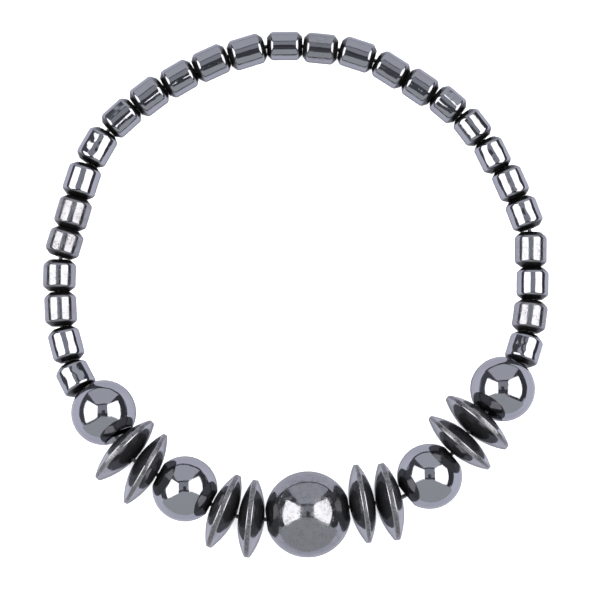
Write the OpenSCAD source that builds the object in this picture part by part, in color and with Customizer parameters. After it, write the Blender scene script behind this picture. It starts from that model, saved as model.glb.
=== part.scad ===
// A stretch bracelet of polished hematite beads, lying flat as one whole loop.
// Seen from above, the large bead is at the front (-Y) and +X is to the right.
// The surface that it lies on is z = 0, and the middle of its outline is at the origin.

/* [Barrel beads] */
// Usual length of a barrel bead along the cord
barrel_l = 4.1; // [3.7:0.05:4.8]
// Usual width of a barrel bead across the cord
barrel_w = 4; // [3.8:0.05:4.4]
// Length of the slanted edge at each end of a barrel, along the cord
slant_l = 0.6; // [0.4:0.05:0.8]
// Depth of the same slanted edge, across the cord
slant_w = 0.75; // [0.5:0.05:0.85]
// Rounding of a barrel's corners
corner_r = 0.55; // [0.1:0.05:0.6]

/* [Round beads] */
// Diameter of the four smaller round beads
round_d = 8; // [7.2:0.1:9]
// Diameter of the large round bead in the middle of the front
centre_d = 10.5; // [9.5:0.1:12]
// Diameter of the flat that is ground round each hole of a round bead
flat_d = 3; // [2:0.1:3.4]

/* [Disc beads] */
// Diameter of a disc bead
disc_d = 9.6; // [8.6:0.1:11]
// Thickness of a disc bead between the tops of its two domes
disc_l = 3.3; // [2.8:0.05:4]
// Thickness of the flat rim of a disc bead
rim_l = 0.7; // [0.4:0.05:1]

/* [Cord and holes] */
// Diameter of the elastic cord
cord_d = 0.5; // [0.4:0.05:0.6]
// Diameter of the hole through a bead
bore_d = 1.3; // [1.2:0.05:1.5]
// Width of the slanted edge round the mouth of a hole
mouth = 0.15; // [0.1:0.05:0.25]

/* [Fit] */
// Least gap between one bead and the next
gap = 0.05; // [0.05:0.01:0.2]
// Direction in which the large bead lies from the middle of the loop, in degrees
front_angle = -87; // [-100:1:-80]

/* [Hidden] */
$fn = 96;
// Sides of the cord, and points on each rounded corner
cord_sides = 8;
corner_steps = 4;

// One row for each bead, clockwise from the lower left as seen from above.
// longer and wider change the bead's usual size, out is its distance outside the circle,
// lift is how far it is held off the surface, and turn swings it from the cord's line.
KIND = 0;
LONGER = 1;
WIDER = 2;
OUT = 3;
LIFT = 4;
TURN = 5;
BEADS = [
    // kind, longer, wider, out, lift, turn
    ["barrel", -0.2, 0.2, 0.2, 0.4, 0],
    ["barrel", 0.1, 0, 0, 0.1, 2],
    ["barrel", 0.1, 0, -0.1, 0, -3],
    ["barrel", -0.2, 0.1, -0.1, 0, 2],
    ["barrel", -0.5, 0.3, -0.3, 0, -5],
    ["barrel", -0.1, 0.2, -0.4, 0, -1],
    ["barrel", 0.1, 0.2, 0.1, 0, 2],
    ["barrel", 0.4, 0, 0.6, 0, 2],
    ["barrel", 0.2, -0.1, 0.6, 0, -2],
    ["barrel", 0.1, 0.1, 0.3, 0, 3],
    ["barrel", 0.1, -0.1, 0.1, 0, 2],
    ["barrel", 0.3, -0.1, 0.2, 0, 3],
    ["barrel", 0.5, -0.1, 0.3, 0, 4],
    ["barrel", 0.3, -0.4, 0.5, 0, -2],
    ["barrel", 0.2, -0.2, 0.3, 0, 1],
    ["barrel", 0.4, -0.2, 0.4, 0, -1],
    ["barrel", 0.2, -0.3, 0, 0, -5],
    ["barrel", -0.1, -0.1, -0.2, 0, -3],
    ["barrel", -0.2, -0.1, 0.1, 0, -3],
    ["barrel", -0.1, -0.1, 0.2, 0, -4],
    ["barrel", 0, -0.2, 0.1, 0, -8],
    ["barrel", 0, -0.1, 0.3, 0, -4],
    ["barrel", -0.1, 0, 0.5, 0, 4],
    ["barrel", 0.2, 0, 0.3, 0, -7],
    ["barrel", -0.1, 0, 0.2, 0, 0],
    ["barrel", -0.2, 0.2, 0.1, 0.1, 0],
    ["barrel", -0.2, 0.2, 0.2, 0.4, 2],
    ["round", -0.4, 0, -0.6, 0, 0],
    ["disc", -0.1, 0, -1.1, 0, -1],
    ["disc", -0.1, 0, -1.1, 0, 1],
    ["round", -0.1, 0, -0.3, 0.3, 0],
    ["disc", 0, 0, 0, 0, -6],
    ["disc", -0.1, 0.1, -0.9, 0, 2],
    ["centre", 0, 0, -0.8, 0, 0],
    ["disc", 0, -0.1, 0.2, 0, -1],
    ["disc", 0, -0.1, 0.1, 0, 0],
    ["round", -0.2, 0, -0.6, 0.3, 0],
    ["disc", -0.1, 0.1, 0, 0, 4],
    ["disc", -0.1, 0.1, 0, 0, 7],
    ["round", -0.4, 0, -0.9, 0, 0],
];
count = len(BEADS);

// What each kind of bead is called, and how many of it come before bead i
function kind(i) = cell(i, KIND);
function earlier(i) = len([for (k = [0:1:i - 1]) if (kind(k) == kind(i)) k]);
function two_digits(n) = n < 10 ? str("0", n) : str(n);
function name(i) = kind(i) == "centre" ? "large_round_bead"
    : str(kind(i), "_bead_", two_digits(earlier(i) + 1));

// Sizes of bead i, which may be counted past either end of the table
function cell(i, column) = BEADS[(i + count) % count][column];
function flat_length(d) = sqrt(d * d - flat_d * flat_d);
function bead_w(i) = cell(i, WIDER) + (kind(i) == "barrel" ? barrel_w
    : kind(i) == "disc" ? disc_d
    : kind(i) == "round" ? round_d : centre_d);
function bead_l(i) = cell(i, LONGER) + (kind(i) == "barrel" ? barrel_l
    : kind(i) == "disc" ? disc_l
    : flat_length(kind(i) == "round" ? round_d : centre_d));
function height(i) = bead_w(i) / 2 + cell(i, LIFT);
function dome_r(l, w) = (pow(w, 2) + pow(l - rim_l, 2)) / (4 * (l - rim_l));

// How far bead i reaches from its middle in a direction that is off degrees from its hole
function reach(i, off) = let (half = bead_l(i) / 2, r = bead_w(i) / 2)
    kind(i) == "barrel" ? half * cos(off) + (r - slant_w) * sin(off)
    : kind(i) == "disc" ? dome_r(2 * half, 2 * r) * (1 - cos(off)) + half * cos(off)
    : min(half * cos(off) + sqrt(r * r - half * half) * sin(off), r);

// Angle that the way from bead i to the next, far long, takes round a circle of radius r
function arc(i, far, r) = let (
        rise = height(i + 1) - height(i),
        swing = cell(i + 1, OUT) - cell(i, OUT),
        between = r + (cell(i, OUT) + cell(i + 1, OUT)) / 2)
    2 * asin(sqrt(far * far - rise * rise - swing * swing) / (2 * between));
function turned(fars, r) =
    [for (i = 0, a = 0; i <= count; a = a + arc(i, fars[i % count], r), i = i + 1) a];

// Radius at which the beads just close the loop, found by scaling it a few times
function closed_r(fars, r, tries) =
    tries == 0 ? r : closed_r(fars, r * turned(fars, r)[count] / 360, tries - 1);

// Radius from which that search starts, and how often it is corrected
first_r = 29;
corrections = 4;

// Places of the beads on that circle, clockwise, with the large bead at front_angle
large = [for (i = [0:count - 1]) if (kind(i) == "centre") i][0];
function places(fars) = let (
        r = closed_r(fars, first_r, corrections),
        a = turned(fars, r))
    [for (i = [0:count - 1]) let (at = front_angle + a[large] - a[i])
        [(r + cell(i, OUT)) * cos(at), (r + cell(i, OUT)) * sin(at), height(i)]];

// Direction from bead i to the next, and the same direction swung by an angle
function unit(v) = v / norm(v);
function ahead(p, i) = unit(p[(i + 1) % count] - p[i % count]);
function swung(v, angle) =
    [v.x * cos(angle) - v.y * sin(angle), v.x * sin(angle) + v.y * cos(angle), v.z];

// Direction of a bead's hole, midway between those to its two neighbours but for its turn
function hole_way(p, i) =
    swung(unit(ahead(p, i) + ahead(p, i + count - 1)), cell(i, TURN));

// Least distance from bead i to the next at which some plane still passes between them,
// tried at whole degrees to either side of straight across
plane_tilt = 20;
function angle_between(a, b) = acos(min(a * b, 1));
function room(p, i) = let (way = ahead(p, i), here = hole_way(p, i), there = hole_way(p, i + 1))
    min([for (t = [-plane_tilt:plane_tilt]) let (side = swung(way, t))
        (reach(i, angle_between(here, side)) + reach(i + 1, angle_between(there, side)))
        / (way * side)]);

// The beads are strung end to end first, and then twice as close as their bends let them
function closer(p) = places([for (i = [0:count - 1]) room(p, i) + gap]);
spaced = closer(closer(places([for (i = [0:count - 1]) reach(i, 0) + gap + reach(i + 1, 0)])));

// The middle of the outline goes to the origin
function middle(axis) = (max([for (i = [0:count - 1]) spaced[i][axis] + bead_w(i) / 2])
    + min([for (i = [0:count - 1]) spaced[i][axis] - bead_w(i) / 2])) / 2;
centres = [for (c = spaced) c - [middle(0), middle(1), 0]];

// Where each hole points, and where it ends
hole_ways = [for (i = [0:count - 1]) hole_way(centres, i)];
function bead_end(i, side) = centres[i % count] + hole_ways[i % count] * side * bead_l(i) / 2;

// Points of the arc that rounds the corner b between a and c
function corner(a, b, c, r) = let (
        u = unit(a - b),
        v = unit(c - b),
        half = acos(u * v) / 2,
        middle = b + unit(u + v) * r / sin(half),
        start = b + u * r / tan(half) - middle,
        stop = b + v * r / tan(half) - middle)
    [for (k = [0:corner_steps]) middle + r * unit(start + (stop - start) * k / corner_steps)];

// Puts a bead that was drawn upright at its place on the cord
module strung(i) {
    way = hole_ways[i];
    translate(centres[i]) rotate([0, acos(way.z), atan2(way.y, way.x)]) children();
}

// Hole through a bead of length l, with a slanted edge at both mouths
module hole(l) {
    bore_r = bore_d / 2;
    end = l / 2;
    rotate_extrude() polygon([
        [0, -end - bore_r], [bore_r + mouth + bore_r, -end - bore_r], [bore_r, -end + mouth],
        [bore_r, end - mouth], [bore_r + mouth + bore_r, end + bore_r], [0, end + bore_r]]);
}

// Drum with slanted, softly rounded ends
module barrel_shape(l, w) {
    side = [w / 2, l / 2 - slant_l];
    top = [w / 2 - slant_w, l / 2];
    upper = concat(
        corner([w / 2, 0], side, top, corner_r),
        corner(side, top, [0, l / 2], corner_r));
    lower = [for (k = [len(upper) - 1:-1:0]) [upper[k].x, -upper[k].y]];
    rotate_extrude() polygon(concat([[0, l / 2]], [[0, -l / 2]], lower, upper));
}

// Ball with a flat at each end of its hole
module round_shape(l, w) {
    intersection() {
        sphere(d = w);
        cylinder(h = l, d = w, center = true);
    }
}

// Two shallow domes back to back on a thin flat rim
module disc_shape(l, w) {
    r = dome_r(l, w);
    intersection() {
        translate([0, 0, l / 2 - r]) sphere(r = r);
        translate([0, 0, r - l / 2]) sphere(r = r);
        cylinder(h = l, d = w, center = true);
    }
}

// One drilled bead of any kind at its place in the loop
module bead(i) {
    l = bead_l(i);
    w = bead_w(i);
    color("#5b5a66") strung(i) difference() {
        if (kind(i) == "barrel") barrel_shape(l, w);
        else if (kind(i) == "disc") disc_shape(l, w);
        else round_shape(l, w);
        hole(l);
    }
}

// The cord runs through the middle of each bead and of each gap between two beads
route = [for (i = [0:count - 1])
    each [centres[i], (bead_end(i, 1) + bead_end(i + 1, -1)) / 2]];
rings = len(route);
function cord_point(k, side) = let (
        here = route[k],
        forward = unit(route[(k + 1) % rings] - route[(k + rings - 1) % rings]),
        across = unit(cross(forward, [0, 0, 1])),
        upward = cross(across, forward),
        turned = 360 * side / cord_sides)
    here + cord_d / 2 * (across * cos(turned) + upward * sin(turned));

module elastic_cord() {
    points = [for (k = [0:rings - 1], side = [0:cord_sides - 1]) cord_point(k, side)];
    function corner_no(k, side) = (k % rings) * cord_sides + side % cord_sides;
    faces = [for (k = [0:rings - 1], side = [0:cord_sides - 1]) each [
        [corner_no(k, side), corner_no(k + 1, side + 1), corner_no(k + 1, side)],
        [corner_no(k, side), corner_no(k, side + 1), corner_no(k + 1, side + 1)]]];
    color("#1c1c20") polyhedron(points, faces);
}

for (i = [0:count - 1]) bead(i);
elastic_cord();
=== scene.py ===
import math

import bmesh
import bpy
from bpy.props import FloatProperty, FloatVectorProperty, PointerProperty
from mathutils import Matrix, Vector


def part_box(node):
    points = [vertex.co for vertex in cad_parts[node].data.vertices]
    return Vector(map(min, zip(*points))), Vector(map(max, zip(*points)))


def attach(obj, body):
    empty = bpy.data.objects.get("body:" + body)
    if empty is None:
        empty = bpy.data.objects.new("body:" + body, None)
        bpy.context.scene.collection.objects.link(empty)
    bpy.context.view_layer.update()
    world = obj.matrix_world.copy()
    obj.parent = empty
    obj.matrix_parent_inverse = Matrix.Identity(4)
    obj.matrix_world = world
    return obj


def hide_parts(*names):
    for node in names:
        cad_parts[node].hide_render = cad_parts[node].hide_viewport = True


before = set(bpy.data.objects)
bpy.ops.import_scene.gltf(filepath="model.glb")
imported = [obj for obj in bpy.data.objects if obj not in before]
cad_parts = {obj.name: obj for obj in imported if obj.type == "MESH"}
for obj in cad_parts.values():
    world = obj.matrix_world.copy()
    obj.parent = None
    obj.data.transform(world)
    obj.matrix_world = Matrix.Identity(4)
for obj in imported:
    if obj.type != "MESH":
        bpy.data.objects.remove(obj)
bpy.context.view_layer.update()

bl_info = {
    "name": "Hematite Bead Bracelet",
    "version": (1, 0, 0),
    "blender": (4, 5, 0),
    "location": "3D View > Sidebar > Bracelet",
    "description": "Polished hematite beads on an elastic cord, lying on a pale floor",
    "category": "Object",
}

MM = 0.001
HAIR = 0.001 * MM        # points closer than this are one point

# Beads by kind, in the order in which they are strung
BARRELS = [f"barrel_bead_{k:02d}" for k in range(1, 28)]
FRONT = [
    "round_bead_01", "disc_bead_01", "disc_bead_02", "round_bead_02", "disc_bead_03",
    "disc_bead_04", "large_round_bead", "disc_bead_05", "disc_bead_06", "round_bead_03",
    "disc_bead_07", "disc_bead_08", "round_bead_04",
]
STRING = BARRELS + FRONT
ROUNDS = [name for name in FRONT if name.startswith("round")]
DISCS = [name for name in FRONT if name.startswith("disc")]
LARGE = "large_round_bead"
CORD = "elastic_cord"

# Barrels with a duller, finely pitted polish, and how worn each is from 0 to 1
WORN_BARRELS = {"barrel_bead_03": 0.4, "barrel_bead_04": 0.4, "barrel_bead_05": 0.8,
                "barrel_bead_06": 0.8, "barrel_bead_15": 0.3, "barrel_bead_24": 0.4,
                "barrel_bead_26": 0.6}

# Barrels whose side has shallow dents that bend the reflections
DENTED_BARRELS = [f"barrel_bead_{k:02d}" for k in (1, 2, 8, 21, 22, 23, 27)]


# Sizes and colours


class BeadSizes(bpy.types.PropertyGroup):
    """Sizes of the beads that their solids don't give outright."""

    bore: FloatProperty(
        name="Hole", description="Diameter of the hole through a bead",
        default=1.3 * MM, subtype="DISTANCE", unit="LENGTH")
    mouth: FloatProperty(
        name="Mouth", description="Width of the slanted edge round the mouth of a hole",
        default=0.15 * MM, subtype="DISTANCE", unit="LENGTH")
    slant_length: FloatProperty(
        name="Slant length", description="Length of a barrel's slanted end, along the cord",
        default=0.6 * MM, subtype="DISTANCE", unit="LENGTH")
    slant_depth: FloatProperty(
        name="Slant depth", description="Depth of a barrel's slanted end, across the cord",
        default=0.75 * MM, subtype="DISTANCE", unit="LENGTH")
    shoulder: FloatProperty(
        name="Shoulder", description="Rounding between a barrel's side and its slanted end",
        default=0.5 * MM, subtype="DISTANCE", unit="LENGTH")
    nose: FloatProperty(
        name="Nose", description="Rounding between a barrel's slanted end and its face",
        default=0.18 * MM, subtype="DISTANCE", unit="LENGTH")
    swell: FloatProperty(
        name="Swell", description="Length that a barrel has beyond its solid, at each end",
        default=0.02 * MM, subtype="DISTANCE", unit="LENGTH")
    rim: FloatProperty(
        name="Rim", description="Thickness of the flat rim of a disc",
        default=0.7 * MM, subtype="DISTANCE", unit="LENGTH")
    rim_edge: FloatProperty(
        name="Rim edge", description="Rounding of the two edges of a disc's rim",
        default=0.18 * MM, subtype="DISTANCE", unit="LENGTH")
    flat_edge: FloatProperty(
        name="Flat edge", description="Rounding of the edge of a round bead's flat",
        default=0.15 * MM, subtype="DISTANCE", unit="LENGTH")
    cord: FloatProperty(
        name="Cord", description="Diameter of the elastic cord",
        default=0.5 * MM, subtype="DISTANCE", unit="LENGTH")


class BeadFinish(bpy.types.PropertyGroup):
    """Colours and polish of the beads and the cord."""

    stone: FloatVectorProperty(
        name="Polished stone", description="Colour that the polished hematite reflects",
        default=(0.125, 0.125, 0.132), size=3, subtype="COLOR", min=0, max=1)
    vein: FloatVectorProperty(
        name="Veins", description="Colour of the brownish veins and mottling",
        default=(0.085, 0.068, 0.06), size=3, subtype="COLOR", min=0, max=1)
    pit: FloatVectorProperty(
        name="Specks", description="Colour of the dark specks in a worn polish",
        default=(0.02, 0.019, 0.02), size=3, subtype="COLOR", min=0, max=1)
    rim_stone: FloatVectorProperty(
        name="Rim", description="Colour of the less polished rim of a disc",
        default=(0.095, 0.09, 0.09), size=3, subtype="COLOR", min=0, max=1)
    ground_end: FloatVectorProperty(
        name="Ground end", description="Colour of the less polished slanted ends",
        default=(0.016, 0.0145, 0.013), size=3, subtype="COLOR", min=0, max=1)
    polish: FloatProperty(
        name="Polish", description="Roughness of the polished stone",
        default=0.03, min=0, max=1, subtype="FACTOR")
    waviness: FloatProperty(
        name="Waviness", description="Height of the slow waves in the polished surface",
        default=0.04 * MM, subtype="DISTANCE", unit="LENGTH")
    rubber: FloatVectorProperty(
        name="Cord", description="Colour of the elastic cord",
        default=(0.012, 0.012, 0.014), size=3, subtype="COLOR", min=0, max=1)


class StudioLook(bpy.types.PropertyGroup):
    """Floor, surroundings and lights of the studio."""

    floor: FloatVectorProperty(
        name="Floor", description="Colour of the floor",
        default=(0.9, 0.9, 0.9), size=3, subtype="COLOR", min=0, max=1)
    table_glow: FloatVectorProperty(
        name="Table", description="Light that comes up from the pale table",
        default=(2.6, 2.65, 3.1), size=3, subtype="COLOR", min=0, soft_max=6)
    wall: FloatVectorProperty(
        name="Back wall", description="Light from the wall behind the bracelet",
        default=(2.15, 2.25, 2.5), size=3, subtype="COLOR", min=0, soft_max=6)
    front_wall: FloatVectorProperty(
        name="Front wall", description="Light from the side on which the camera stands",
        default=(1.8, 1.92, 2.02), size=3, subtype="COLOR", min=0, soft_max=6)
    ceiling: FloatVectorProperty(
        name="Ceiling", description="Light from straight above",
        default=(1.3, 1.38, 1.55), size=3, subtype="COLOR", min=0, soft_max=6)
    shade: FloatVectorProperty(
        name="Shade", description="Light from the unlit parts of the studio",
        default=(0.27, 0.29, 0.35), size=3, subtype="COLOR", min=0, soft_max=6)
    softbox: FloatProperty(
        name="Softboxes", description="Brightness of the two softboxes",
        default=9.0, min=0, soft_max=40)


# Shader maths


class Link:
    """An output of a shader node that can stand in a Python sum."""

    def __init__(self, shader, socket):
        self.shader = shader
        self.socket = socket

    def maths(self, operation, first, second=None):
        values = {0: first} if second is None else {0: first, 1: second}
        return self.shader.node("ShaderNodeMath", {"operation": operation}, values)[0]

    def __add__(self, other):
        return self.maths("ADD", self, other)

    __radd__ = __add__

    def __sub__(self, other):
        return self.maths("SUBTRACT", self, other)

    def __rsub__(self, other):
        return self.maths("SUBTRACT", other, self)

    def __mul__(self, other):
        return self.maths("MULTIPLY", self, other)

    __rmul__ = __mul__

    def __abs__(self):
        return self.maths("ABSOLUTE", self)

    def __neg__(self):
        return self.maths("MULTIPLY", self, -1)

    def most(self, other):
        """The larger of the two at each place."""
        return self.maths("MAXIMUM", self, other)

    def rise(self, start, stop):
        """0 below start and 1 above stop, with a smooth change between them."""
        return self.shader.node(
            "ShaderNodeMapRange", {"interpolation_type": "SMOOTHSTEP", "clamp": True},
            {"Value": self, "From Min": start, "From Max": stop})[0]

    def positive(self, edge):
        """1 where it is above zero and 0 elsewhere, with a soft edge."""
        return self.rise(-edge, edge)


class Shader:
    """Writes the nodes of a material or of the world."""

    def __init__(self, owner):
        owner.use_nodes = True
        self.tree = owner.node_tree
        self.tree.nodes.clear()

    def node(self, kind, settings=None, values=None):
        """Add a node, set it, fill its sockets, and give its outputs."""
        made = self.tree.nodes.new(kind)
        for name, setting in (settings or {}).items():
            setattr(made, name, setting)
        for name, value in (values or {}).items():
            if isinstance(value, Link):
                self.tree.links.new(value.socket, made.inputs[name])
            else:
                made.inputs[name].default_value = value
        return Outputs(self, made)

    def principled(self, values):
        """End the material in one Principled shader."""
        surface = self.node("ShaderNodeBsdfPrincipled", None, values)["BSDF"]
        self.node("ShaderNodeOutputMaterial", None, {"Surface": surface})

    def bump(self, height, distance, strength=1.0, under=None, invert=False):
        """Relief of a height in metres, on top of another relief if one is given."""
        values = {"Strength": strength, "Distance": distance, "Height": height}
        if under:
            values["Normal"] = under
        return self.node("ShaderNodeBump", {"invert": invert}, values)["Normal"]

    def blend(self, factor, first, second):
        """Mix two colours by a factor."""
        return self.node(
            "ShaderNodeMix", {"data_type": "RGBA"},
            {"Factor": factor, "A": solid(first), "B": solid(second)})["Result"]

    def noise(self, place, size, detail=2.0, rough=0.5, twist=0.0):
        """Noise from 0 to 1 whose patches are about as large as size."""
        return self.node(
            "ShaderNodeTexNoise", None,
            {"Vector": place, "Scale": 1 / size, "Detail": detail, "Roughness": rough,
             "Distortion": twist})[0]


class Outputs:
    """The outputs of a node, by number or by name."""

    def __init__(self, shader, node):
        self.shader = shader
        self.node = node

    def __getitem__(self, key):
        if isinstance(key, int):
            return Link(self.shader, self.node.outputs[key])
        found = [socket for socket in self.node.outputs if socket.name == key and socket.enabled]
        return Link(self.shader, found[0])


def solid(colour):
    """A colour with its fourth value, or a link as it is."""
    return colour if isinstance(colour, Link) else (*colour, 1)


# Finishes


def polished_hematite(name, wear=0.0, mottled=0.0, waves=1.0, matt=None, dim=1.0):
    """Dark mirror-like stone with slow waves, fine specks and brownish mottling.

    wear and mottled go from 0 to 1. waves is the height of the waves, as a multiple of the
    usual one, and dim darkens the stone. The parts that were ground but not polished are
    marked by the attribute "matt" of the bead's mesh: matt gives their colour and roughness."""
    finish = bpy.context.scene.bead_finish
    material = bpy.data.materials.new(name)
    shader = Shader(material)
    place = shader.node("ShaderNodeTexCoord")["Object"]

    # Colour: brownish veins in slow patches, and dark specks where the polish is worn
    patches = shader.noise(place, 1.6 * MM, detail=4, rough=0.6).rise(0.42, 0.7)
    veins = shader.noise(place, 0.5 * MM, detail=5, rough=0.65, twist=0.6).rise(0.52, 0.7)
    stone = [dim * c for c in finish.stone]
    colour = shader.blend(veins * patches * (0.25 + mottled), stone, finish.vein)
    crumbs = shader.noise(place, 0.16 * MM, detail=3, rough=0.7)
    chosen = shader.noise(place, 0.8 * MM, detail=2).rise(0.38, 0.6)
    specks = crumbs.rise(0.5, 0.62) * chosen
    dull = shader.blend(0.1 * wear + 0.6 * wear * specks, colour, finish.vein)
    colour = shader.blend(0.75 * wear * specks, dull, finish.pit)
    rough = finish.polish + 0.02 * patches + 0.05 * wear + 0.1 * wear * patches
    if matt:
        shade, dullness = matt
        ground = shader.node("ShaderNodeAttribute", {"attribute_name": "matt"})["Fac"]
        grain = shader.noise(place, 0.25 * MM, detail=4, rough=0.7)
        worked = shader.blend(grain.rise(0.35, 0.65), [0.35 * c for c in shade], shade)
        colour = shader.blend(ground * (0.8 + 0.2 * grain), colour, worked)
        rough = rough + ground * dullness * (0.6 + 0.8 * grain)

    # Relief: slow waves of the tumbled surface and small pits in the polish
    swells = shader.noise(place, 1.8 * MM, detail=1)
    slow = shader.bump(swells, finish.waviness * waves)
    relief = shader.bump(specks, 0.01 * MM, 0.1 + 0.5 * wear, slow, invert=True)
    shader.principled({
        "Base Color": colour, "Metallic": 0.975 - 0.045 * mottled, "Roughness": rough,
        "Normal": relief, "Specular Tint": (0.6, 0.6, 0.6, 1)})
    return material


def elastic_thread():
    """Dark elastic with the fine ribs of its winding."""
    finish = bpy.context.scene.bead_finish
    material = bpy.data.materials.new("elastic_thread")
    shader = Shader(material)
    place = shader.node("ShaderNodeTexCoord")["Object"]
    fibres = shader.noise(place, 0.12 * MM, detail=3)
    colour = shader.blend(fibres.rise(0.35, 0.65), finish.rubber, [c * 2.5 for c in finish.rubber])
    ribs = shader.bump(fibres, 0.02 * MM, 0.5)
    shader.principled({"Base Color": colour, "Roughness": 0.45 + 0.2 * fibres, "Normal": ribs})
    return material


# Bench tools


def only(thing):
    """Deselect everything and make one object the one that is worked on."""
    bpy.ops.object.select_all(action="DESELECT")
    thing.select_set(True)
    bpy.context.view_layer.objects.active = thing


def pick(test, kind="FACE"):
    """Select the faces or edges of the edited mesh whose corners all pass a test."""
    bpy.ops.mesh.select_mode(type=kind)
    bpy.ops.mesh.select_all(action="DESELECT")
    mesh = bmesh.from_edit_mesh(bpy.context.object.data)
    for part in mesh.faces if kind == "FACE" else mesh.edges:
        if all(test(corner.co) for corner in part.verts):
            part.select_set(True)
    mesh.select_flush_mode()
    bmesh.update_edit_mesh(bpy.context.object.data)


def near(value, goal):
    """Whether two lengths are the same but for rounding."""
    return abs(value - goal) < 2 * HAIR


def across(spot):
    """Distance of a point from the hole's middle line, which is the X axis."""
    return math.hypot(spot.y, spot.z)


def pick_end(x):
    """Select the face that closes the bead at x."""
    pick(lambda spot: near(spot.x, x))


def draw_out(x, new_x, radius, new_radius):
    """Extrude the selected round face from one ring of the outline to the next."""
    bpy.ops.mesh.extrude_region_move(TRANSFORM_OT_translate={"value": (new_x - x, 0, 0)})
    grow = new_radius / radius
    bpy.ops.transform.resize(value=(1, grow, grow), center_override=(new_x, 0, 0))


def round_ring(x, radius, reach, steps):
    """Round the ring of edges at x, from reach before it to reach behind it."""
    pick(lambda spot: near(spot.x, x) and near(across(spot), radius), "EDGE")
    bpy.ops.mesh.bevel(offset=reach, segments=steps, affect="EDGES")
    bpy.ops.mesh.select_mode(type="FACE")


def drill(end, radius):
    """Turn the selected flat face of a half bead into the mouth of its hole."""
    sizes = bpy.context.scene.bead_sizes
    bore = sizes.bore / 2
    lip = bore + sizes.mouth
    if lip < radius:
        draw_out(end, end, radius, lip)
    draw_out(end, end - sizes.mouth, lip, bore)
    draw_out(end - sizes.mouth, 0, bore, bore)
    pick(lambda spot: near(spot.x, 0))
    bpy.ops.mesh.delete(type="FACE")


def mirror_half(bead, name):
    """Complete a half bead by its mirror image, close the seam and smooth it."""
    bpy.ops.object.mode_set(mode="OBJECT")
    bead.name = name
    mirror = bead.modifiers.new("other_half", "MIRROR")
    mirror.use_axis = (True, False, False)
    mirror.merge_threshold = HAIR
    bpy.ops.object.modifier_apply(modifier=mirror.name)
    bpy.ops.object.mode_set(mode="EDIT")
    bpy.ops.mesh.select_all(action="SELECT")
    bpy.ops.mesh.remove_doubles(threshold=HAIR)
    bpy.ops.mesh.normals_make_consistent(inside=False)
    bpy.ops.object.mode_set(mode="OBJECT")
    bpy.ops.object.shade_smooth_by_angle(angle=math.radians(32))
    return bead


def mark_matt(bead, share):
    """Note on the mesh how far each corner belongs to the less polished parts, from 0 to 1."""
    matt = bead.data.attributes.new("matt", "FLOAT", "POINT")
    for corner, value in zip(bead.data.vertices, matt.data):
        value.value = share(corner.co)


def start_half(radius, length, sides):
    """Half a bead as a short round bar from the origin along X, ready to be shaped."""
    bpy.ops.object.select_all(action="DESELECT")
    bpy.ops.mesh.primitive_cylinder_add(
        vertices=sides, radius=radius, depth=length, end_fill_type="NGON",
        location=(length / 2, 0, 0), rotation=(0, math.pi / 2, 0))
    bpy.ops.object.transform_apply(location=True, rotation=True, scale=True)
    bar = bpy.context.object
    bpy.ops.object.mode_set(mode="EDIT")
    pick_end(length)
    return bar


def measure(node):
    """Middle, direction of the hole, length and width of a bead, read from its solid."""
    low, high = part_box(node)
    rough_middle = (low + high) / 2
    corners = {tuple(round(x, 7) for x in v.co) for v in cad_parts[node].data.vertices}
    spots = [Vector(c) - rough_middle for c in sorted(corners)]
    # The corners nearest to the middle are the two rings in which the hole's wall ends
    least = min(spot.length for spot in spots)
    rings = [spot for spot in spots if spot.length < least * 1.03]
    front = [spot for spot in rings if spot.dot(rings[0]) > 0]
    back = [spot for spot in rings if spot.dot(rings[0]) <= 0]
    front_middle = sum(front, Vector()) / len(front)
    back_middle = sum(back, Vector()) / len(back)
    shift = (front_middle + back_middle) / 2
    hole = (front_middle - back_middle).normalized()
    spots = [spot - shift for spot in spots]
    length = 2 * max(abs(spot.dot(hole)) for spot in spots)
    width = 2 * max((spot - hole * spot.dot(hole)).length for spot in spots)
    return rough_middle + shift, hole, length, width


MEASURED = {name: measure(name) for name in STRING}


def stretch(bead, longer, wider):
    """Move the two ends of a bead apart and widen it, so that its slants keep their length."""
    only(bead)
    bpy.ops.object.mode_set(mode="EDIT")
    for side in (1, -1):
        pick(lambda spot: spot.x * side > HAIR)
        bpy.ops.transform.translate(value=(side * longer / 2, 0, 0))
    bpy.ops.mesh.select_all(action="SELECT")
    bpy.ops.transform.resize(value=(1, wider, wider), center_override=(0, 0, 0))
    bpy.ops.object.mode_set(mode="OBJECT")


def string(bead, node, material):
    """Turn a finished bead along its hole, put it at its place and let it stand for its solid."""
    middle, hole = MEASURED[node][:2]
    only(bead)
    bead.name = node.replace("_bead_", "_").replace("_bead", "") + "_polished"
    bead.rotation_mode = "QUATERNION"
    bead.rotation_quaternion = Vector((1, 0, 0)).rotation_difference(hole)
    bead.location = middle
    bpy.ops.object.transform_apply(location=True, rotation=True, scale=True)
    bead.rotation_mode = "XYZ"
    bead.data.materials.clear()
    bead.data.materials.append(material)
    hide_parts(node)
    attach(bead, "root")


def copy_of(master):
    """A copy with a mesh of its own."""
    only(master)
    bpy.ops.object.duplicate(linked=False)
    return bpy.context.object


# Beads


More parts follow.
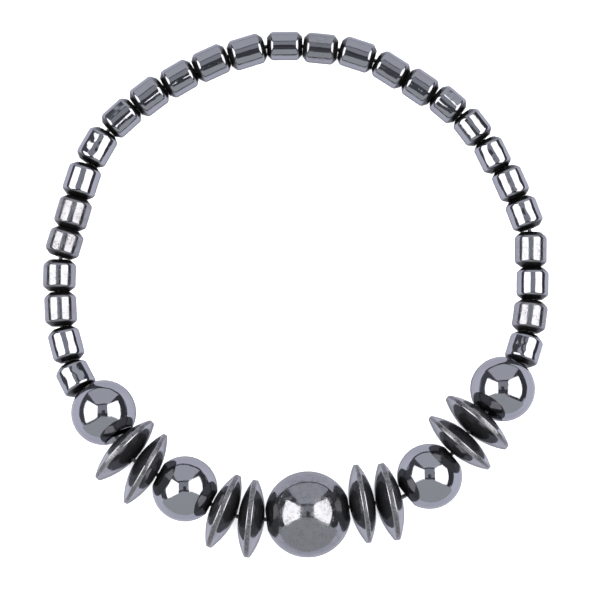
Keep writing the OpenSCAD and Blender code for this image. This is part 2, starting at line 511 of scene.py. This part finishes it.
def model_barrel(length, width):
    """Drum with slanted, softly rounded ends."""
    sizes = bpy.context.scene.bead_sizes
    radius = width / 2
    side = length / 2 - sizes.slant_length
    face = radius - sizes.slant_depth
    slope = math.atan2(sizes.slant_depth, sizes.slant_length)
    shoulder = sizes.shoulder * math.tan(slope / 2)
    # A narrow ring next to the shoulder keeps the shading of the long side straight
    straight = side - shoulder - 0.05 * MM
    bead = start_half(radius, straight, sides=64)
    draw_out(straight, side, radius, radius)
    draw_out(side, length / 2, radius, face)
    lip = sizes.bore / 2 + sizes.mouth
    draw_out(length / 2, length / 2, face, lip)
    drill(length / 2, lip)
    round_ring(side, radius, shoulder, 8)
    round_ring(length / 2, face, sizes.nose * math.tan((math.pi / 2 - slope) / 2), 5)
    bead = mirror_half(bead, "barrel_master")
    # The polish fades out over the first part of the slant
    edge = 0.2 * sizes.slant_depth
    mark_matt(bead, lambda spot: min(1, max(0, (radius - across(spot) - 0.3 * edge) / edge)))
    return bead


def model_disc(length, width):
    """Two shallow domes back to back on a thin flat rim."""
    sizes = bpy.context.scene.bead_sizes
    radius = width / 2
    half_rim = sizes.rim / 2
    dome = (width ** 2 + (length - sizes.rim) ** 2) / (4 * (length - sizes.rim))
    lip = sizes.bore / 2 + sizes.mouth
    start, stop = math.asin(radius / dome), math.asin(lip / dome)
    bead = start_half(radius, half_rim, sides=96)
    x, ring = half_rim, radius
    steps = 20
    for step in range(1, steps + 1):
        angle = start + (stop - start) * step / steps
        new_x = length / 2 - dome * (1 - math.cos(angle))
        draw_out(x, new_x, ring, dome * math.sin(angle))
        x, ring = new_x, dome * math.sin(angle)
    drill(x, ring)
    round_ring(half_rim, radius, sizes.rim_edge * math.tan((math.pi / 2 - start) / 2), 7)
    bead = mirror_half(bead, "disc_master")
    mark_matt(bead, lambda spot: 1.0 if across(spot) > radius - HAIR else 0.0)
    return bead


def model_round(length, width):
    """Ball closed by a cap at each end, where its flat and its hole belong."""
    sizes = bpy.context.scene.bead_sizes
    bpy.ops.object.select_all(action="DESELECT")
    bpy.ops.mesh.primitive_uv_sphere_add(
        segments=128, ring_count=64, radius=width / 2, rotation=(0, math.pi / 2, 0))
    bpy.ops.object.transform_apply(location=True, rotation=True, scale=True)
    bead = bpy.context.object
    bpy.ops.object.mode_set(mode="EDIT")
    bpy.ops.mesh.select_all(action="SELECT")
    bpy.ops.mesh.bisect(plane_co=(0, 0, 0), plane_no=(1, 0, 0), clear_inner=True)
    bpy.ops.mesh.select_all(action="SELECT")
    bpy.ops.mesh.bisect(
        plane_co=(length / 2, 0, 0), plane_no=(1, 0, 0), clear_outer=True, use_fill=True)
    # The cut's default threshold, 0.1 mm, takes nearby rings as lying on its plane and closes
    # the ball at one of them, so the flat and the hole below find no face to start from
    flat = math.sqrt((width / 2) ** 2 - (length / 2) ** 2)
    tilt = math.acos(length / width)
    lip = sizes.bore / 2 + sizes.mouth
    pick_end(length / 2)
    draw_out(length / 2, length / 2, flat, lip)
    drill(length / 2, lip)
    round_ring(length / 2, flat, sizes.flat_edge * math.tan(tilt / 2), 4)
    return mirror_half(bead, "round_master")


class BRACELET_OT_barrel_beads(bpy.types.Operator):
    """Model one barrel bead, and copy it along the back of the loop"""

    bl_idname = "bracelet.barrel_beads"
    bl_label = "Barrel Beads"

    def execute(self, context):
        usual_length, usual_width = 4.1 * MM, 4.0 * MM
        swell = context.scene.bead_sizes.swell
        master = model_barrel(usual_length, usual_width)
        ground = (context.scene.bead_finish.ground_end, 0.25)
        clean = polished_hematite("polished_barrel", waves=1.1, matt=ground)
        dented = polished_hematite("dented_barrel", waves=3.2, matt=ground)
        worn = {
            wear: polished_hematite(
                f"worn_barrel_{wear:.1f}", wear=wear, mottled=wear, waves=1.1, matt=ground,
                dim=1 - 0.2 * wear)
            for wear in sorted(set(WORN_BARRELS.values()))
        }
        for name in BARRELS:
            length, width = MEASURED[name][2:]
            bead = copy_of(master)
            stretch(bead, length + 2 * swell - usual_length, width / usual_width)
            if name in WORN_BARRELS:
                finish = worn[WORN_BARRELS[name]]
            else:
                finish = dented if name in DENTED_BARRELS else clean
            string(bead, name, finish)
        bpy.data.objects.remove(master)
        return {"FINISHED"}


class BRACELET_OT_disc_beads(bpy.types.Operator):
    """Model one disc bead, and copy it to its pairs along the front"""

    bl_idname = "bracelet.disc_beads"
    bl_label = "Disc Beads"

    def execute(self, context):
        usual_length, usual_width = 3.3 * MM, 9.6 * MM
        master = model_disc(usual_length, usual_width)
        rim = (context.scene.bead_finish.rim_stone, 0.22)
        mottled = polished_hematite("mottled_disc", wear=0.3, mottled=0.75, waves=1.5, matt=rim)
        for name in DISCS:
            length, width = MEASURED[name][2:]
            bead = copy_of(master)
            stretch(bead, length - usual_length, width / usual_width)
            string(bead, name, mottled)
        bpy.data.objects.remove(master)
        return {"FINISHED"}


class BRACELET_OT_round_beads(bpy.types.Operator):
    """Model the four smaller round beads, each cut to about its own length"""

    bl_idname = "bracelet.round_beads"
    bl_label = "Round Beads"

    def execute(self, context):
        clean = polished_hematite("polished_round")
        for name in ROUNDS:
            length, width = MEASURED[name][2:]
            string(model_round(length, width), name, clean)
        return {"FINISHED"}


class BRACELET_OT_large_round_bead(bpy.types.Operator):
    """Model the large round bead in the middle of the front"""

    bl_idname = "bracelet.large_round_bead"
    bl_label = "Large Round Bead"

    def execute(self, context):
        length, width = MEASURED[LARGE][2:]
        pitted = polished_hematite("pitted_round", wear=0.5, mottled=0.3, waves=1.5, dim=0.84)
        string(model_round(length, width), LARGE, pitted)
        return {"FINISHED"}


class BRACELET_OT_elastic_cord(bpy.types.Operator):
    """Draw the elastic cord as one smooth closed loop through every bead"""

    bl_idname = "bracelet.elastic_cord"
    bl_label = "Elastic Cord"

    def execute(self, context):
        route = []
        for name, next_name in zip(STRING, STRING[1:] + STRING[:1]):
            middle, hole, length = MEASURED[name][:3]
            after, after_hole, after_length = MEASURED[next_name][:3]
            way = after - middle
            leaving = middle + hole * math.copysign(length / 2, hole.dot(way))
            entering = after - after_hole * math.copysign(after_length / 2, after_hole.dot(way))
            route += [middle, (leaving + entering) / 2]
        curve = bpy.data.curves.new("cord_route", "CURVE")
        curve.dimensions = "3D"
        curve.bevel_depth = context.scene.bead_sizes.cord / 2
        curve.bevel_resolution = 3
        curve.resolution_u = 6
        spline = curve.splines.new("NURBS")
        spline.points.add(len(route) - 1)
        for point, spot in zip(spline.points, route):
            point.co = (*spot, 1)
        spline.use_cyclic_u = True
        spline.order_u = 3
        cord = bpy.data.objects.new("elastic_cord_tube", curve)
        context.scene.collection.objects.link(cord)
        only(cord)
        bpy.ops.object.convert(target="MESH")
        bpy.ops.object.shade_smooth()
        cord = bpy.context.object
        cord.data.materials.clear()
        cord.data.materials.append(elastic_thread())
        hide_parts(CORD)
        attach(cord, "root")
        return {"FINISHED"}


# Studio


def pale_floor():
    """White paper that glows evenly in the open, with painted shade that darkens its glow in the
    slits between the beads and under them.
    """
    look = bpy.context.scene.studio_look
    material = bpy.data.materials.new("pale_floor")
    shader = Shader(material)
    open_sky = shader.node(
        "ShaderNodeAmbientOcclusion", {"samples": 12}, {"Distance": 6 * MM})["AO"]
    # Painted shade: where ambient occlusion finds a spot shut in by the beads, the glow fades to near
    # black, as a contact shadow would
    glow = shader.blend(open_sky.rise(0.08, 0.22), (0.02, 0.02, 0.02), look.floor)
    shader.principled({
        "Base Color": (0.35, 0.35, 0.35, 1), "Roughness": 0.9, "Emission Color": glow,
        "Emission Strength": 1.0})
    return material


def add_floor():
    """A wide round floor that curves up into a backdrop on all sides."""
    radius, bend, wall, steps = 0.9, 0.4, 1.2, 8
    bpy.ops.object.select_all(action="DESELECT")
    bpy.ops.mesh.primitive_circle_add(vertices=96, radius=radius, fill_type="NGON")
    floor = bpy.context.object
    floor.name = "floor_sweep"
    bpy.ops.object.mode_set(mode="EDIT")
    pick(lambda spot: True, "EDGE")
    out, up = radius, 0.0
    for step in range(1, steps + 1):
        angle = math.pi / 2 * step / steps
        new_out, new_up = radius + bend * math.sin(angle), bend * (1 - math.cos(angle))
        bpy.ops.mesh.extrude_region_move(TRANSFORM_OT_translate={"value": (0, 0, new_up - up)})
        bpy.ops.transform.resize(
            value=(new_out / out, new_out / out, 1), center_override=(0, 0, new_up))
        out, up = new_out, new_up
    bpy.ops.mesh.extrude_region_move(TRANSFORM_OT_translate={"value": (0, 0, wall)})
    bpy.ops.object.mode_set(mode="OBJECT")
    bpy.ops.object.shade_smooth_by_angle(angle=math.radians(40))
    floor.location.z = -0.02 * MM
    bpy.ops.object.transform_apply(location=True, rotation=True, scale=True)
    floor.data.materials.append(pale_floor())
    floor.visible_glossy = False
    floor.visible_diffuse = False
    floor.visible_shadow = False


def add_surroundings(scene):
    """Light of the studio by its direction: table, two walls, ceiling and shade between.

    x runs to the right, y to the back and z up, and together they make a length of 1."""
    look = scene.studio_look
    soft_edge, sharp_edge = 0.02, 0.01
    world = bpy.data.worlds.new("studio")
    scene.world = world
    shader = Shader(world)
    way = shader.node("ShaderNodeTexCoord")["Generated"]
    parts = shader.node("ShaderNodeSeparateXYZ", None, {"Vector": way})
    x, y, z = parts[0], parts[1], parts[2]
    side = abs(x)
    above = z.most(0.0)

    # The unlit parts are darker to the right
    shade = shader.blend(x.rise(-0.2, 0.5), look.shade, [0.55 * c for c in look.shade])

    # The ceiling shows between the softboxes, the walls beyond their frames
    overhead = (0.48 * z - y).positive(0.015) * (0.06 * z + y).positive(0.015)
    colour = shader.blend(overhead * z.rise(0.8, 0.86), shade, look.ceiling)
    back = (y - 1.22 * side).positive(soft_edge) * (y - 0.6 * above).positive(soft_edge)
    colour = shader.blend(back, colour, look.wall)
    front = (-y - 0.45 * side).positive(soft_edge) * (0.1 - z).positive(soft_edge)
    colour = shader.blend(front, colour, look.front_wall)

    # A dark line parts the back wall from the table, which dims towards straight below
    seam = y.rise(0.0, 0.1) * (-0.12 - z).positive(sharp_edge)
    colour = shader.blend(seam, colour, look.shade)
    horizon = -0.182 + 0.15 * side.rise(0.6, 0.95)
    table = (horizon - z).positive(sharp_edge)
    far = shader.blend(side.rise(0.3, 0.9), look.table_glow, [1.15 * c for c in look.table_glow])
    glow = shader.blend(z.rise(-1.02, -0.8), [0.15 * c for c in look.table_glow], far)
    colour = shader.blend(table, colour, glow)
    light = shader.node("ShaderNodeBackground", None, {"Color": colour, "Strength": 1.0})
    shader.node("ShaderNodeOutputWorld", None, {"Surface": light["Background"]})


def add_softbox(name, low, high, wide, brightness):
    """One tall softbox beside the bracelet, leaning in over it from low to high."""
    middle = (low + high) / 2
    tall = (high - low).length
    lean = math.copysign(math.atan2(high.z - low.z, abs(low.x - high.x)), middle.x)
    bpy.ops.object.light_add(type="AREA", location=middle, rotation=(0, lean, 0))
    lamp = bpy.context.object
    lamp.name = name
    lamp.data.shape = "RECTANGLE"
    lamp.data.size = tall
    lamp.data.size_y = wide
    lamp.data.energy = brightness * math.pi * tall * wide
    lamp.visible_camera = False


def show_only_in_beads(thing):
    """Keep a part of the studio out of everything but the reflections."""
    thing.visible_camera = False
    thing.visible_diffuse = False
    thing.visible_shadow = False


def add_front_card(scene):
    """A white card in front of the bracelet, with two wings that bend away to the sides."""
    place, half_width, card_middle, card_tall = -0.042, 0.028, 0.0447, 0.087
    wing_steps = (
        {"out": 0.036, "back": -0.017, "low": -0.008, "high": 0.062},
        {"out": 0.136, "back": -0.073, "low": -0.036, "high": 0.015},
    )
    bpy.ops.object.select_all(action="DESELECT")
    bpy.ops.mesh.primitive_plane_add(
        size=1, location=(0, place, card_middle), rotation=(math.radians(85), 0, 0))
    card = bpy.context.object
    card.name = "front_card"
    card.scale = (2 * half_width, card_tall, 1)
    bpy.ops.object.transform_apply(location=True, rotation=True, scale=True)
    bpy.ops.object.mode_set(mode="EDIT")
    for side in (1, -1):
        reach, middle, tall = half_width, card_middle, card_tall
        for step in wing_steps:
            pick(lambda spot: near(spot.x, side * reach), "EDGE")
            new_middle, new_tall = (step["low"] + step["high"]) / 2, step["high"] - step["low"]
            bpy.ops.mesh.extrude_region_move(TRANSFORM_OT_translate={
                "value": (side * step["out"], step["back"], new_middle - middle)})
            bpy.ops.transform.resize(
                value=(1, 1, new_tall / tall), center_override=(side * reach, place, new_middle))
            reach, middle, tall = reach + step["out"], new_middle, new_tall
    bpy.ops.object.mode_set(mode="OBJECT")
    material = bpy.data.materials.new("white_card")
    shader = Shader(material)
    white = shader.node(
        "ShaderNodeEmission", None, {"Color": solid(scene.studio_look.front_wall), "Strength": 1.0})
    shader.node("ShaderNodeOutputMaterial", None, {"Surface": white["Emission"]})
    card.data.materials.append(material)
    show_only_in_beads(card)


def add_camera_front(camera):
    """The dark front of the camera, which the beads reflect as a small dark spot."""
    bpy.ops.object.select_all(action="DESELECT")
    bpy.ops.mesh.primitive_plane_add(size=1, location=camera.location, rotation=camera.rotation_euler)
    front = bpy.context.object
    front.name = "camera_front"
    front.scale = (0.05, 0.08, 1)
    bpy.ops.object.transform_apply(location=True, rotation=True, scale=True)
    material = bpy.data.materials.new("camera_black")
    Shader(material).principled({"Base Color": (0.04, 0.04, 0.045, 1), "Roughness": 0.8})
    front.data.materials.append(material)
    show_only_in_beads(front)


def add_camera(scene):
    """Camera almost straight above, a little towards the front."""
    height, turn = math.radians(85.7), math.radians(-0.2)
    distance = 0.26
    aim = Vector((0, 0, 2.5 * MM))
    bpy.ops.object.camera_add(
        location=aim + distance * Vector((0, -math.cos(height), math.sin(height))),
        rotation=(math.pi / 2 - height, 0, turn))
    camera = bpy.context.object
    camera.name = "camera_above"
    camera.data.sensor_width = 36
    camera.data.lens = 125.4
    camera.data.shift_x = 0.006
    camera.data.shift_y = -0.0055
    camera.data.clip_start = 0.01
    scene.camera = camera
    return camera


class BRACELET_OT_studio(bpy.types.Operator):
    """Set up the pale floor, the two softboxes, the surroundings and the camera"""

    bl_idname = "bracelet.studio"
    bl_label = "Studio"

    def execute(self, context):
        scene = context.scene
        brightness = scene.studio_look.softbox
        add_floor()
        add_surroundings(scene)
        add_softbox(
            "softbox_left", low=Vector((-0.423, 0.01, 0.167)), high=Vector((-0.282, 0.01, 0.743)),
            wide=0.543, brightness=brightness)
        add_softbox(
            "softbox_right", low=Vector((0.45, 0.049, 0.2)), high=Vector((0.216, 0.049, 0.737)),
            wide=0.624, brightness=brightness)
        add_front_card(scene)
        add_camera_front(add_camera(scene))
        scene.view_settings.view_transform = "Standard"
        return {"FINISHED"}


class BRACELET_PT_panel(bpy.types.Panel):
    """Sizes, finishes and steps of the bracelet"""

    bl_idname = "BRACELET_PT_panel"
    bl_label = "Hematite Bracelet"
    bl_space_type = "VIEW_3D"
    bl_region_type = "UI"
    bl_category = "Bracelet"

    def draw(self, context):
        layout = self.layout
        for group in (context.scene.bead_sizes, context.scene.bead_finish, context.scene.studio_look):
            box = layout.box()
            for name in group.__annotations__:
                box.prop(group, name)
        for operator in OPERATORS:
            layout.operator(operator.bl_idname)


GROUPS = {"bead_sizes": BeadSizes, "bead_finish": BeadFinish, "studio_look": StudioLook}
OPERATORS = (
    BRACELET_OT_barrel_beads, BRACELET_OT_disc_beads, BRACELET_OT_round_beads,
    BRACELET_OT_large_round_bead, BRACELET_OT_elastic_cord, BRACELET_OT_studio,
)


def register():
    for group in GROUPS.values():
        bpy.utils.register_class(group)
    for name, group in GROUPS.items():
        setattr(bpy.types.Scene, name, PointerProperty(type=group))
    for operator in OPERATORS:
        bpy.utils.register_class(operator)
    bpy.utils.register_class(BRACELET_PT_panel)


def unregister():
    bpy.utils.unregister_class(BRACELET_PT_panel)
    for operator in reversed(OPERATORS):
        bpy.utils.unregister_class(operator)
    for name, group in GROUPS.items():
        delattr(bpy.types.Scene, name)
        bpy.utils.unregister_class(group)


def main():
    """Make the bracelet and its studio."""
    register()
    bpy.ops.bracelet.barrel_beads()
    bpy.ops.bracelet.disc_beads()
    bpy.ops.bracelet.round_beads()
    bpy.ops.bracelet.large_round_bead()
    bpy.ops.bracelet.elastic_cord()
    bpy.ops.bracelet.studio()


if __name__ == "__main__":
    main()
